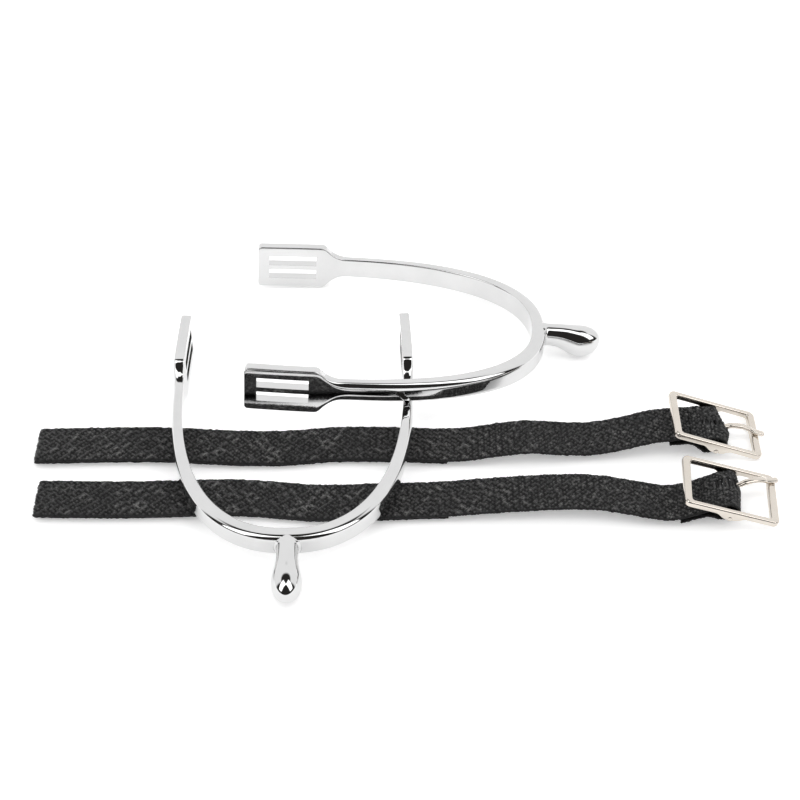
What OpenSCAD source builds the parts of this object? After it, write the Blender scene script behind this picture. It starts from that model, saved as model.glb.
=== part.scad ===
// Pair of round-knob spurs and their two braided straps, laid out as a set on a flat surface.
// Millimetres, +Z up. The origin is the middle of the layout's footprint, on the surface.
// A spur's own frame: +X from the heel towards the toe, +Y across, Z = 0 at the plates' lower edge.
// A buckle's own frame: +X towards the tongue's tip, +Y along the centre bar, origin on the bar's axis.

/* [Yoke: the U round the boot heel] */
// Inside width across the arms
inner_w = 76; // [70:0.5:84]
// Inside length from the heel to the ends of the arms
yoke_len = 100; // [95:0.5:110]
// Distance from the heel to the widest place
bow_len = 69.7; // [62:0.1:72]
// Squareness of the bow, where 2 is an ellipse
bow_n = 2.37; // [2:0.02:2.6]
// How far each arm leans in at its end
toe_in = 0.9; // [0:0.1:2]
// Thickness of the band at the heel
band_t = 4.9; // [3.4:0.1:5]
// Height of the band at the heel
band_h = 8.2; // [6.5:0.1:8.4]
// Height of the band where it meets the plates
band_h_arm = 7.3; // [5.5:0.1:8]
// Height of the band's top edge over the plates' lower edge
band_top = 12.45; // [11:0.05:13]

/* [Strap plates] */
// Length of the plate's straight edge
plate_l = 24.8; // [24:0.1:30]
// Height of the plate
plate_h = 16.9; // [15.5:0.1:19]
// Thickness of the plate
plate_t = 3.3; // [2.8:0.1:3.6]
// Length of the curved shoulder between plate and band
shoulder_l = 8; // [5:0.5:12]
// Radius of the plate's end corners
plate_corner_r = 1.2; // [0.6:0.1:2]
// Length of each strap slot
slot_l = 17.6; // [16.5:0.1:18.5]
// Height of each strap slot
slot_h = 4.1; // [3:0.1:4.6]
// Height of the bar between the two slots
slot_bar = 1.8; // [1.4:0.1:2.6]
// Distance from the plate's end to the slots
slot_end = 4.1; // [3:0.1:5]

/* [Neck and knob] */
// Radius of the neck at the heel
neck_r = 3.6; // [3:0.1:4]
// Height of the neck's axis at the heel
neck_z = 8.1; // [7.5:0.05:8.5]
// Distance from the inside of the heel to the knob's centre
knob_x = 20.2; // [16:0.1:30]
// Height of the knob's centre
knob_z = 5.35; // [5.3:0.05:7]
// Radius of the knob
knob_r = 5.25; // [4.5:0.05:5.3]
// Radius of the spigot that holds the neck in the band
spigot_r = 2.4; // [2:0.1:3]

/* [Strap] */
// Width of the braided webbing
strap_w = 16; // [14:0.2:16.8]
// Thickness of the braided webbing
strap_t = 1.7; // [1.4:0.05:1.8]
// Air between two layers that lie on each other
layer_gap = 0.3; // [0.2:0.01:0.4]
// X of the fold where the free end turns back underneath
fold_x = -124.8; // [-140:0.1:-100]
// X of the free end's tip
tip_x = 16; // [-60:1:18]
// Length of the tail that is stitched down behind the buckle, from the bar
tail_l = 15.6; // [13:0.1:18]
// Inside radius of the webbing loop round the bar
loop_r = 2.2; // [2.1:0.05:2.4]
// Width of the tongue's slit in the loop
slit_w = 3.4; // [3.2:0.1:4]

/* [Buckle] */
// Length of the frame
frame_l = 32.5; // [30:0.1:34]
// Width of the frame across the strap
frame_w = 22; // [21:0.1:24]
// Depth of the frame's section
frame_t = 2.2; // [1.8:0.1:2.4]
// Width of the end bar on the strap's side
back_bar_w = 2.6; // [2:0.1:3]
// Width of the end bar under the tongue's tip
tip_bar_w = 2.8; // [2:0.1:3]
// Width of each side rail
rail_w = 1.9; // [1.6:0.1:2.2]
// Height of the frame's mid plane over the centre bar's axis
frame_rise = 2; // [1.9:0.05:2.2]
// Radius of the centre bar
bar_r = 1; // [0.9:0.05:1.1]

/* [Tongue] */
// Radial clearance of the tongue's eye on the bar
eye_clear = 0.06; // [0.03:0.01:0.09]
// Outer radius of the eye
eye_r = 2; // [1.9:0.05:2.05]
// Width of the tongue
tongue_w = 2; // [1.6:0.1:2.2]
// Thickness of the tongue
tongue_t = 1.4; // [1.2:0.1:1.6]

/* [Layout] */
// Heel of the lower spur
lower_spur_at = [-36.1, -56.95];
// Direction of the lower spur's toe end
lower_spur_turn = 90.9; // [85:0.1:95]
// Heel of the upper spur
upper_spur_at = [46.4, 39.35];
// Direction of the upper spur's toe end
upper_spur_turn = 180.3; // [178:0.1:182]
// Distance from the upper spur's heel to where its arm rests on the lower spur
cross_x = 43; // [40:0.5:48]
// Centre bar of the first strap's buckle
first_bar_at = [107, -4.2, 4.75];
// Tilt of the first buckle's frame, tip down
first_tilt = 20; // [15:0.5:20]
// Centre bar of the second strap's buckle
second_bar_at = [107.9, -36.5, 5.9];
// Tilt of the second buckle's frame, tip down
second_tilt = 15; // [12:0.5:20]
// Turn of the second buckle about the vertical
second_turn = -4; // [-5:0.5:0]

/* [Hidden] */
$fn = 48;
chrome = [0.86, 0.87, 0.89];
nickel = [0.85, 0.82, 0.77];
black_nylon = [0.06, 0.06, 0.065];
thread_black = [0.02, 0.02, 0.02];
touch = 0.05;
shoulder_power = 2.2;
thicken_l = 36;
bow_step = 4.5;

// ---- curves ----
// Smooth curve through knots [x, value], level at both ends
function knot_before(k, x) = min(max(len([for (p = k) if (p[0] <= x) 1]) - 1, 0), len(k) - 2);
function knot_slope(k, i) = (i == 0 || i == len(k) - 1) ? 0
    : (k[i + 1][1] - k[i - 1][1]) / (k[i + 1][0] - k[i - 1][0]);
function curve(k, x) =
    let (i = knot_before(k, x), h = k[i + 1][0] - k[i][0],
         u = min(max((x - k[i][0]) / h, 0), 1), v = 1 - u)
    k[i][1] * v * v * (1 + 2 * u) + knot_slope(k, i) * h * u * v * v
    + k[i + 1][1] * u * u * (3 - 2 * u) - knot_slope(k, i + 1) * h * u * u * v;
// Points moved sideways by t along the path's left-hand normal
function beside(p, t) = [for (i = [0:len(p) - 1])
    let (a = p[max(i - 1, 0)], b = p[min(i + 1, len(p) - 1)], d = b - a)
    p[i] + t * [-d[1], d[0]] / norm(d)];
function reversed(p) = [for (i = [len(p) - 1:-1:0]) p[i]];
function ribbon(p, t) = concat(beside(p, t / 2), reversed(beside(p, -t / 2)));
function eased(u) = let (v = min(max(u, 0), 1)) v * v * (3 - 2 * v);
function arc(c, r, from, to, steps) = [for (i = [0:steps])
    let (a = from + (to - from) * i / steps) [c[0] + r * cos(a), c[1] + r * sin(a)]];
function round_rect(x0, x1, half_w, r) = concat(
    arc([x1 - r, half_w - r], r, 0, 90, 4), arc([x0 + r, half_w - r], r, 90, 180, 4),
    arc([x0 + r, r - half_w], r, 180, 270, 4), arc([x1 - r, r - half_w], r, 270, 360, 4));

// ---- spur ----
// Inside line of one arm, from its end to the heel
function arm_line() = concat(
    [for (i = [0:8]) let (u = 1 - i / 8)
        [bow_len + (yoke_len - bow_len) * u, inner_w / 2 - toe_in * u * u]],
    [for (a = [90 - bow_step:-bow_step:0])
        [bow_len * (1 - pow(cos(a), 2 / bow_n)), inner_w / 2 * pow(sin(a), 2 / bow_n)]]);
function mirror_y(p) = [for (q = p) [q[0], -q[1]]];
function inside_line() = let (arm = arm_line())
    concat(arm, mirror_y([for (i = [len(arm) - 2:-1:0]) arm[i]]));

shoulder_x = yoke_len - plate_l - shoulder_l;
// Thickness at a distance x from the heel: the plates' as far as the shoulder, then growing to the band's
function thick(x) = plate_t + (band_t - plate_t) * eased((shoulder_x + 4 - x) / thicken_l);
function outside_line(p) = [for (i = [0:len(p) - 1]) beside(p, -thick(p[i][0]))[i]];
function band_low(x) = band_top - band_h
    + (band_h - band_h_arm) * min(max(x / shoulder_x, 0), 1);
function shoulder_rise(u) = 1 - pow(1 - u, shoulder_power);
function side_outline() = let (low = band_low(shoulder_x), r = plate_corner_r) concat(
    [[-2 * band_t, band_low(0)]],
    [for (u = [1:-0.125:0]) [shoulder_x + shoulder_l * (1 - u), low * shoulder_rise(u)]],
    arc([yoke_len - r, r], r, 270, 360, 4),
    arc([yoke_len - r, plate_h - r], r, 0, 90, 4),
    [for (u = [0:0.125:1]) [yoke_len - plate_l - shoulder_l * u,
                            plate_h - (plate_h - band_top) * shoulder_rise(u)]],
    [[-2 * band_t, band_top]]);

module yoke() {
    reach = inner_w;
    line = inside_line();
    slot_x = yoke_len - slot_end - slot_l;
    difference() {
        intersection() {
            linear_extrude(plate_h) polygon(concat(line, reversed(outside_line(line))));
            rotate([90, 0, 0]) linear_extrude(2 * reach, center = true) polygon(side_outline());
        }
        for (side = [-1, 1])
            translate([slot_x, -reach, plate_h / 2 + side * (slot_bar + slot_h) / 2 - slot_h / 2])
                cube([slot_l, 2 * reach, slot_h]);
        translate([-2 * band_t, 0, neck_z]) rotate([0, 90, 0]) cylinder(r = spigot_r, h = 4 * band_t);
    }
}

// Tapered rod and round knob on one sloping axis, cut off flush with the band
module neck() {
    knob = [-knob_x, knob_z];
    axis = [3 - band_t - touch, neck_z + 0.4] - knob;
    knob_share = 0.1;
    difference() {
        translate([knob[0], 0, knob[1]]) rotate([0, atan2(axis[0], axis[1]), 0]) {
            sphere(r = knob_r);
            translate([0, 0, knob_share * norm(axis)])
                cylinder(r1 = 0.8 * knob_r, r2 = 0.98 * neck_r, h = (1 - knob_share) * norm(axis));
        }
        translate([-band_t - touch, -10, -10]) cube(40);
    }
    translate([-band_t - 1, 0, neck_z]) rotate([0, 90, 0]) cylinder(r = spigot_r, h = band_t + 1);
}

// Tilt of the upper spur, which rests on its knob, its far plate and the lower spur's arm
knob_low = knob_z - knob_r;
plate_x = yoke_len - plate_l;
rest_reach = (cross_x + knob_x) / (plate_x + knob_x);
far_y = inner_w / 2 + plate_t;
near_y = inner_w / 2 * pow(1 - pow(1 - cross_x / bow_len, bow_n), 1 / bow_n);
lean = (band_top + 2 * touch - band_low(cross_x) + knob_low * (1 - rest_reach))
    / (far_y * rest_reach + near_y);
nose_up = (lean * far_y + knob_low) / (plate_x + knob_x);
upper_rise = nose_up * knob_x - knob_low + 2 * touch;

module lower_place() {
    translate([lower_spur_at[0], lower_spur_at[1], 0]) rotate([0, 0, lower_spur_turn]) children();
}
module upper_place() {
    translate([upper_spur_at[0], upper_spur_at[1], upper_rise])
        rotate([0, 0, upper_spur_turn]) rotate([atan(lean), 0, 0]) rotate([0, -atan(nose_up), 0])
        children();
}

// ---- straps ----
// Top face of the webbing at rest as [x, z], and its drift sideways from the bar as [x, y]
flat_z = 2 * strap_t + layer_gap;
fold_axis_x = fold_x + flat_z / 2;
first_wave = [[15, flat_z], [24, flat_z + 0.5], [33, flat_z + 2], [44, flat_z + 2.9],
              [56, flat_z + 1.3], [66, flat_z + 0.6], [77, flat_z + 2.4], [86, flat_z + 4.4],
              [107, first_bar_at[2] + loop_r + strap_t]];
first_drift = [[15, -5.9], [45, -4.8], [70, -2.9], [107, 0]];
second_wave = [[10, flat_z], [26, flat_z + 1], [45, flat_z + 2.4], [64, flat_z + 3.1],
               [78, flat_z + 1.7], [89, flat_z + 0.6], [98, flat_z + 2.8],
               [107.9, second_bar_at[2] + loop_r + strap_t]];
second_drift = [[12, 0.9], [40, 1.5], [64, 1.2], [88, -1.2], [107.9, 0]];

// Height of the tail's middle: close under the top layer, then down to the loop's lower side
function tail_z(wave, bar, x) =
    let (blend = eased((x - bar[0] + 9) / 6.5),
         under = curve(wave, x) - 1.5 * strap_t - layer_gap)
    under * (1 - blend) + (bar[2] - loop_r - strap_t / 2) * blend;

// Middle line of the top layer, the loop and the stitched tail in the XZ plane
function webbing_path(wave, bar) = concat(
    [[fold_axis_x + strap_t, flat_z - strap_t / 2]],
    [for (i = [0:34]) let (x = 10 + (bar[0] - 10.5) * i / 34) [x, curve(wave, x) - strap_t / 2]],
    arc([bar[0], bar[2]], loop_r + strap_t / 2, 84, -84, 14),
    [for (i = [1:12]) let (x = bar[0] - 0.4 - (tail_l - 0.4) * i / 12) [x, tail_z(wave, bar, x)]]);

// Outline from the free tip, round the fold, along the top layer and back along its lower face
function webbing_outline(wave, bar) =
    let (path = webbing_path(wave, bar), fold = [fold_axis_x, flat_z / 2])
    concat([[tip_x, 0]], arc(fold, flat_z / 2, 270, 90, 12), beside(path, strap_t / 2),
           reversed(beside(path, -strap_t / 2)), arc(fold, layer_gap / 2, 90, 270, 4),
           [[tip_x, strap_t]]);

module webbing(wave, drift, bar, turn, slit_y, slit) {
    reach = 40;
    plan = [for (i = [0:48]) let (x = fold_x - 8 + (bar[0] + 16 - fold_x) * i / 48)
            [x, curve(drift, x)]];
    level = [for (p = plan) let (d = [p[0] - bar[0], p[1]])
             [d[0] * cos(turn) + d[1] * sin(turn), d[1] * cos(turn) - d[0] * sin(turn)]];
    translate([bar[0], bar[1], 0]) rotate([0, 0, turn]) difference() {
        intersection() {
            translate([-bar[0], 0, 0]) rotate([90, 0, 0])
                linear_extrude(2 * reach, center = true) polygon(webbing_outline(wave, bar));
            translate([0, 0, -1]) linear_extrude(40) polygon(ribbon(level, strap_w));
        }
        translate([-loop_r - strap_t - 1, slit_y - slit / 2, bar[2] - 1.2]) cube([12, slit, 10]);
    }
}

// Rows of stitches across the two layers behind the loop, above and below
module stitching(wave, bar, turn) {
    thread_r = 0.28;
    pitch = 2.7;
    stitch_l = 2.1;
    translate([bar[0], bar[1], 0]) rotate([0, 0, turn])
        for (x = [-13.6, -9.4], face = [0, 1], i = [-2:2]) {
            top = curve(wave, bar[0] + x);
            rise = curve(wave, bar[0] + x + 0.5) - curve(wave, bar[0] + x - 0.5);
            off = (thread_r + 2 * touch) * sqrt(1 + rise * rise);
            under = top - (2 * strap_t + layer_gap) * sqrt(1 + rise * rise);
            translate([x, i * pitch, face == 1 ? top + off : under - off]) rotate([90, 0, 0])
                cylinder(r = thread_r, h = stitch_l, center = true, $fn = 16);
        }
}

// ---- buckle ----
module at_bar(bar, turn, tilt) {
    translate(bar) rotate([0, 0, turn]) rotate([0, tilt, 0]) children();
}

module buckle_frame() {
    half_l = frame_l / 2;
    hump_l = 4.4;
    hump_top_l = 1.6;
    hump_low = -bar_r - 0.75;
    difference() {
        union() {
            translate([0, 0, frame_rise - frame_t / 2]) linear_extrude(frame_t) difference() {
                polygon(round_rect(-half_l, half_l, frame_w / 2, 2));
                polygon(round_rect(back_bar_w - half_l, half_l - tip_bar_w, frame_w / 2 - rail_w, 0.9));
            }
            for (side = [-1, 1])
                translate([0, side * (frame_w - rail_w) / 2, 0]) rotate([90, 0, 0])
                    linear_extrude(rail_w, center = true) polygon([
                        [-hump_l, frame_rise - 0.5], [-hump_l, frame_rise - frame_t / 2],
                        [-hump_top_l, hump_low], [hump_top_l, hump_low],
                        [hump_l, frame_rise - frame_t / 2], [hump_l, frame_rise - 0.5]]);
        }
        rotate([90, 0, 0]) cylinder(r = bar_r, h = 2 * frame_w, center = true);
    }
}

module centre_bar() {
    rotate([90, 0, 0]) cylinder(r = bar_r, h = frame_w, center = true);
}

// The shank leaves the eye and arches on to the tip bar; eye_y and skew place it along the bar
module tongue(eye_y, skew) {
    seat_z = frame_rise + frame_t / 2 + tongue_t / 2 + touch;
    shank_l = frame_l / 2 + 1.6;
    path = [[0.9, 1.0], [3, 2.5], [5.5, seat_z - 0.1], [9, seat_z + 0.75], [12, seat_z + 0.6],
            [frame_l / 2 - tip_bar_w, seat_z + 0.12], [frame_l / 2, seat_z], [shank_l, seat_z]];
    translate([0, eye_y, 0]) difference() {
        union() {
            rotate([90, 0, 0]) cylinder(r = eye_r, h = tongue_w + 0.4, center = true);
            rotate([0, 0, skew]) rotate([90, 0, 0]) linear_extrude(tongue_w, center = true)
                polygon(ribbon(path, tongue_t));
        }
        rotate([90, 0, 0]) cylinder(r = bar_r + eye_clear, h = 20, center = true);
    }
}

// ---- nodes ----
second_eye_y = 1.9;
second_skew = 22;
second_slit = 6.2;

module lower_yoke() { color(chrome) lower_place() yoke(); }
module lower_neck() { color(chrome) lower_place() neck(); }
module upper_yoke() { color(chrome) upper_place() yoke(); }
module upper_neck() { color(chrome) upper_place() neck(); }
module first_webbing() {
    color(black_nylon) webbing(first_wave, first_drift, first_bar_at, 0, 0, slit_w);
}
module first_stitching() { color(thread_black) stitching(first_wave, first_bar_at, 0); }
module first_frame() { color(nickel) at_bar(first_bar_at, 0, first_tilt) buckle_frame(); }
module first_bar() { color(nickel) at_bar(first_bar_at, 0, first_tilt) centre_bar(); }
module first_tongue() { color(nickel) at_bar(first_bar_at, 0, first_tilt) tongue(0, 0); }
module second_webbing() {
    color(black_nylon) webbing(second_wave, second_drift, second_bar_at, second_turn,
                               second_eye_y + 0.9, second_slit);
}
module second_stitching() { color(thread_black) stitching(second_wave, second_bar_at, second_turn); }
module second_frame() { color(nickel) at_bar(second_bar_at, second_turn, second_tilt) buckle_frame(); }
module second_bar() { color(nickel) at_bar(second_bar_at, second_turn, second_tilt) centre_bar(); }
module second_tongue() {
    color(nickel) at_bar(second_bar_at, second_turn, second_tilt) tongue(second_eye_y, second_skew);
}

lower_yoke();
lower_neck();
upper_yoke();
upper_neck();
first_webbing();
first_stitching();
first_frame();
first_bar();
first_tongue();
second_webbing();
second_stitching();
second_frame();
second_bar();
second_tongue();
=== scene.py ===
"""Looks for the pair of round-knob spurs and their two braided straps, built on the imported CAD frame.

Shapes are worked out in millimetres and turned into metres when a mesh is made. Places come from the
CAD nodes: a spur's mesh is set on its node's box, and each strap and buckle hangs on its centre bar.
"""
import math

import bmesh
import bpy
import numpy as np
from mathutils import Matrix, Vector


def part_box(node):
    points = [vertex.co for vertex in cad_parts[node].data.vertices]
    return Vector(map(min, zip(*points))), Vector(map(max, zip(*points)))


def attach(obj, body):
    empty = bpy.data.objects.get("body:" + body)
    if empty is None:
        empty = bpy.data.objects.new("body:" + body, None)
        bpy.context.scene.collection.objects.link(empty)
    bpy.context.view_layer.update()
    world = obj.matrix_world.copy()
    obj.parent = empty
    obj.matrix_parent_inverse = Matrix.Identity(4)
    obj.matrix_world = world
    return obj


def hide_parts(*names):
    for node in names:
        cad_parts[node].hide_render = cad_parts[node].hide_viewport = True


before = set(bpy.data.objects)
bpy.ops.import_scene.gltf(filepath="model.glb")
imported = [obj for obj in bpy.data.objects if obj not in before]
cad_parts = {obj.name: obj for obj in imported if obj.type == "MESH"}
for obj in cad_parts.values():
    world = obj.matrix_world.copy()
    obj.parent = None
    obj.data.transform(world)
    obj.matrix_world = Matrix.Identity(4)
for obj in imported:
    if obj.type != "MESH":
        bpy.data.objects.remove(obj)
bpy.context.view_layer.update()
MM = 0.001

# ---- spur, in its own frame: +X from heel to toe, +Y across, Z = 0 at the plates' lower edge ----
INNER_W = 76.0            # inside width across the arms
YOKE_LEN = 100.0          # inside length from the heel to the arms' ends
BOW_LEN = 69.7            # distance from the heel to the widest place
BOW_N = 2.37              # squareness of the bow, where 2 is an ellipse
TOE_IN = 0.9              # how far each arm leans in at its end
BAND_TOP = 12.45          # height of the band's top edge
BAND_H = 8.2              # band height at the heel
BAND_H_ARM = 7.3          # band height at the plates
BAND_CORNER_W = 0.36      # width of the rounding at the band's outer corners, as a share of its thickness
BAND_CORNER_H = 1.8       # height of that rounding at the heel
BAND_CORNER_H_ARM = 3.0   # height of that rounding along the arms
BAND_T = 4.9              # band thickness at the heel
PLATE_T = 3.5             # thickness of the plates and of the band close to them
SWELL_START = 10.0        # distance behind the plate where the band starts to thicken
SWELL_END = 75.0          # distance behind the plate where it has its full thickness
PLATE_L = 24.8            # length of the plate's straight edge
PLATE_H = 16.9            # height of the plate
PLATE_CORNER = 1.2        # radius of the plate's end corners
SHOULDER_L = 8.0          # length of the curve between plate and band
SHOULDER_POWER = 2.2      # how quickly that curve leaves the plate
SLOT_L = 17.6             # length of a strap slot
SLOT_H = 3.8              # height of a strap slot
SLOT_BAR = 1.8            # bar between the two slots
SLOT_END = 4.1            # distance from the plate's end to the slots
EDGE_R = 0.4              # radius of a polished edge
EDGE_BEVEL = 0.35         # bevel on the sharp corners of plates and slots
KNOB_X = 17.6             # heel to the start of the knob's rounded end
KNOB_R = 7.6              # length of that end
KNOB_TIP = 7.3            # height of its tip
# the neck's top and bottom heights and its half width, each as [distance from the heel, value]
NECK_TOP = [[2.0, 12.45], [8.0, 12.45], [13.0, 12.3], [17.6, 12.0]]
NECK_LOW = [[2.0, 4.35], [7.5, 4.25], [10.5, 3.4], [14.0, 1.3], [17.6, 0.15]]
NECK_HALF_W = [[2.0, 3.5], [7.0, 3.5], [11.0, 3.72], [14.0, 4.3], [17.6, 5.0]]
NECK_POWER = 2.3          # squareness of the neck's section, where 2 is an ellipse
FILLET_R = 1.1            # rounding between neck and band

LOWER_TURN = 90.9         # direction of the lower spur's toe end, degrees
UPPER_TURN = 180.3        # direction of the upper spur's toe end, degrees
UPPER_LEAN = 6.948        # sideways lean of the upper spur on the lower one, degrees
UPPER_NOSE = 3.080        # rise of the upper spur's toe end, degrees

# ---- straps ----
STRAP_W = 17.0            # width of the webbing over its edge knobs
STRAP_T = 1.7             # thickness of the webbing
LAYER_GAP = 0.3           # air between two layers
FLAT_Z = 2 * STRAP_T + LAYER_GAP
LOOP_R = 2.2              # inside radius of the loop round the bar
LOOP_QUARTER = math.pi / 2 * (LOOP_R + STRAP_T / 2)   # length of a quarter of that loop
TAIL_L = 15.6             # length of the stitched tail, from the bar
UNDER_SHIFT = 1.2         # how far the free end lies to the back of the layer above it
TIP_X = 16.0              # x of the free end's tip, under the top layer
STRANDS = 17              # strands in the flat braid
YARNS = 2                 # yarns side by side in a strand
BRAID_PITCH = 2.05        # length of braid from one strand's turn to the next
YARN_W = 0.74             # width of a yarn
YARN_T = 0.74             # thickness of a yarn
BRAID_LIFT = 0.42         # how far a yarn rises over a crossing
TURN_ZONE = 0.9           # width of the zone at each edge where a yarn comes level to turn back
YARN_SIDES = 6            # sides of a yarn's tube
YARN_WAVER = 0.05         # uneven width and path of a yarn
CORE_GAP = 0.12           # height of the two core sheets over and under the middle surface
CORE_COLUMNS = 20         # points across a core sheet
UNDER_STEP = 0.6          # distance between a yarn's rings in the layer underneath
TOP_STEP = 0.45           # the same in the top layer and the loop
LOOP_PART = 26.0          # length of top layer that belongs to the loop's piece
SLIT_BEFORE = 3.6         # middle of the tongue's slit, before the loop's foremost line
SLIT_OPEN = 5.4           # half length of the slit where it is fully open
SLIT_END = 8.8            # half length at which the yarns lie close again
CORE_SLIT = 5.9           # half length of the hole in the core sheets
THREAD_R = 0.28           # radius of the sewing thread
STITCH_ROWS = (13.6, 9.4) # distances of the two rows behind the bar
STITCH_SPACING = 2.7      # distance between stitches in a row
STITCH_HALF = 1.15        # half length of a stitch
STITCH_SINK = 0.75        # how far a stitch's ends sink into the webbing

# ---- buckles, in their own frame: origin on the bar's axis, +X to the tongue's tip ----
FRAME_L = 32.5            # length of the frame
FRAME_W = 22.0            # width of the frame across the strap
FRAME_T = 2.2             # depth of its section
FRAME_ROUND = 0.62        # radius of that section's corners
BACK_BAR_W = 2.6          # width of the end bar on the strap's side
TIP_BAR_W = 2.8           # width of the end bar under the tongue's tip
RAIL_W = 1.9              # width of each side rail
FRAME_RISE = 2.0          # height of the frame's middle over the centre bar
HUMP = 1.75               # depth of the hump under each rail that carries the centre bar
BAR_R = 1.0               # radius of the centre bar
WIRE_R = 0.45             # half thickness of the tongue's wire where it winds round the bar
WIRE_HALF_W = 0.75        # half width of the wire there
TONGUE_W = 2.0            # width of the tongue's shank
TONGUE_T = 1.4            # thickness of the shank
TONGUE_POWER = 3.2        # squareness of the shank's section, where 2 is an ellipse

# ---- colours ----
PAINTED_SHADE_HOLLOW = (0.003, 0.003, 0.003, 1)      # painted shade in the hollows between and under the yarns
DARK_YARN = (0.022, 0.022, 0.0225, 1)       # a yarn's flanks
HIGHLIGHT_DULL = (0.15, 0.15, 0.148, 1)          # painted highlight on the yarns' raised crowns
HIGHLIGHT_BRIGHT = (0.27, 0.268, 0.26, 1)        # the same painted highlight, brighter in random patches
CHROME_COLOURS = (0.66, 0.66, 0.66, 1), (0.62, 0.62, 0.62, 1)
NICKEL_COLOURS = (0.68, 0.63, 0.57, 1), (0.63, 0.58, 0.52, 1)

# ---- stage ----
FLOOR_GLOW = 0.34                           # the floor is a light table, which fills the shadows
FLOOR_HALF = 6.0                            # half the floor's side, metres
WALL_LIGHT = 1.1                            # white wall behind the set
SOFTBOX_LIGHT = 2.2
SOFTBOX_AZIMUTHS = (-53, 57)
SOFTBOX_ELEVATION = 50
SOFTBOX_HALF_SIZE = (14, 32)                # half width and half height, degrees
ROOM_LIGHT = 0.035                          # the dark room in front
BELOW_LIGHT = 0.8                           # under the horizon
WARM_SHADE = (0.85, 0.79, 0.75, 1)          # tint of the dimmest parts of the room
WHITE = (1.0, 1.0, 1.0, 1)
CAMERA_AT = (0.0, -0.44125, 0.4284)
CAMERA_LOOKS_AT = (0.0, 0.01545, 0.0)
CAMERA_LENS = 79.84


# ---------------------------------------------------------------- curves
def curve(knots, x):
    """Smooth curve through knots [x, value], level at both ends."""
    k = np.array(knots, float)
    x = np.clip(np.asarray(x, float), k[0, 0], k[-1, 0])
    i = np.clip(np.searchsorted(k[:, 0], x, side="right") - 1, 0, len(k) - 2)
    slope = np.zeros(len(k))
    slope[1:-1] = (k[2:, 1] - k[:-2, 1]) / (k[2:, 0] - k[:-2, 0])
    h = k[i + 1, 0] - k[i, 0]
    u = (x - k[i, 0]) / h
    v = 1 - u
    return (k[i, 1] * v * v * (1 + 2 * u) + slope[i] * h * u * v * v
            + k[i + 1, 1] * u * u * (3 - 2 * u) - slope[i + 1] * h * u * u * v)


def smooth(x, start, end):
    """0 before start, 1 after end, smooth in between."""
    u = np.clip((np.asarray(x, float) - start) / (end - start), 0, 1)
    return u * u * (3 - 2 * u)


def length_along(points):
    steps = np.linalg.norm(np.diff(points, axis=0), axis=1)
    return np.concatenate([[0], np.cumsum(steps)])


def at_length(points, lengths, where):
    return np.stack([np.interp(where, lengths, points[:, c]) for c in range(points.shape[1])], 1)


def squareness(angle, power):
    """Stretch that turns a circle's point at this angle into a rounded square's."""
    return 1 / (abs(math.cos(angle)) ** power + abs(math.sin(angle)) ** power) ** (1 / power)


def unit(v):
    return v / np.linalg.norm(v, axis=-1, keepdims=True)


def turn_z(points, degrees):
    a = math.radians(degrees)
    m = np.array([[math.cos(a), -math.sin(a), 0], [math.sin(a), math.cos(a), 0], [0, 0, 1]])
    return points @ m.T


def turn_x(points, degrees):
    a = math.radians(degrees)
    m = np.array([[1, 0, 0], [0, math.cos(a), -math.sin(a)], [0, math.sin(a), math.cos(a)]])
    return points @ m.T


def turn_y(points, degrees):
    a = math.radians(degrees)
    m = np.array([[math.cos(a), 0, math.sin(a)], [0, 1, 0], [-math.sin(a), 0, math.cos(a)]])
    return points @ m.T


# ---------------------------------------------------------------- meshes
def grid_faces(rows, cols, close_rows=False, close_cols=False, start=0):
    """Quads of a rows x cols sheet of points, joined round in either direction."""
    faces = []
    for i in range(rows if close_rows else rows - 1):
        for j in range(cols if close_cols else cols - 1):
            a, b = i * cols, ((i + 1) % rows) * cols
            k = (j + 1) % cols
            faces.append((start + a + j, start + a + k, start + b + k, start + b + j))
    return faces


def make_piece(name, points, faces, material, body, replaces=(), uv=None, crown=None, bevel=None):
    """A smooth mesh piece from points in millimetres, riding on a CAD body."""
    mesh = bpy.data.meshes.new(name)
    mesh.from_pydata((np.asarray(points) * MM).tolist(), [], faces)
    if uv is not None:
        layer = mesh.uv_layers.new(name="along")
        loops = np.zeros(len(mesh.loops), np.int32)
        mesh.loops.foreach_get("vertex_index", loops)
        layer.data.foreach_set("uv", np.asarray(uv, np.float32)[loops].ravel())
    if crown is not None:
        mesh.attributes.new("crown", "FLOAT", "POINT").data.foreach_set("value", crown)
    work = bmesh.new()
    work.from_mesh(mesh)
    bmesh.ops.recalc_face_normals(work, faces=work.faces)
    work.to_mesh(mesh)
    work.free()
    mesh.polygons.foreach_set("use_smooth", [True] * len(mesh.polygons))
    mesh.materials.append(material)
    piece = bpy.data.objects.new(name, mesh)
    bpy.context.scene.collection.objects.link(piece)
    if bevel:
        mod = piece.modifiers.new("edges", "BEVEL")
        mod.width = bevel * MM
        mod.segments = 3
        mod.limit_method = "ANGLE"
        mod.angle_limit = math.radians(38)
        mod.harden_normals = True
    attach(piece, body)
    if replaces:
        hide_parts(*replaces)
    return piece


def on_node(points, node):
    """Points moved, without turning, so that their box's middle is at the CAD node's."""
    low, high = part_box(node)
    target = np.array((low + high) / 2) / MM
    return points + target - (points.min(0) + points.max(0)) / 2


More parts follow.
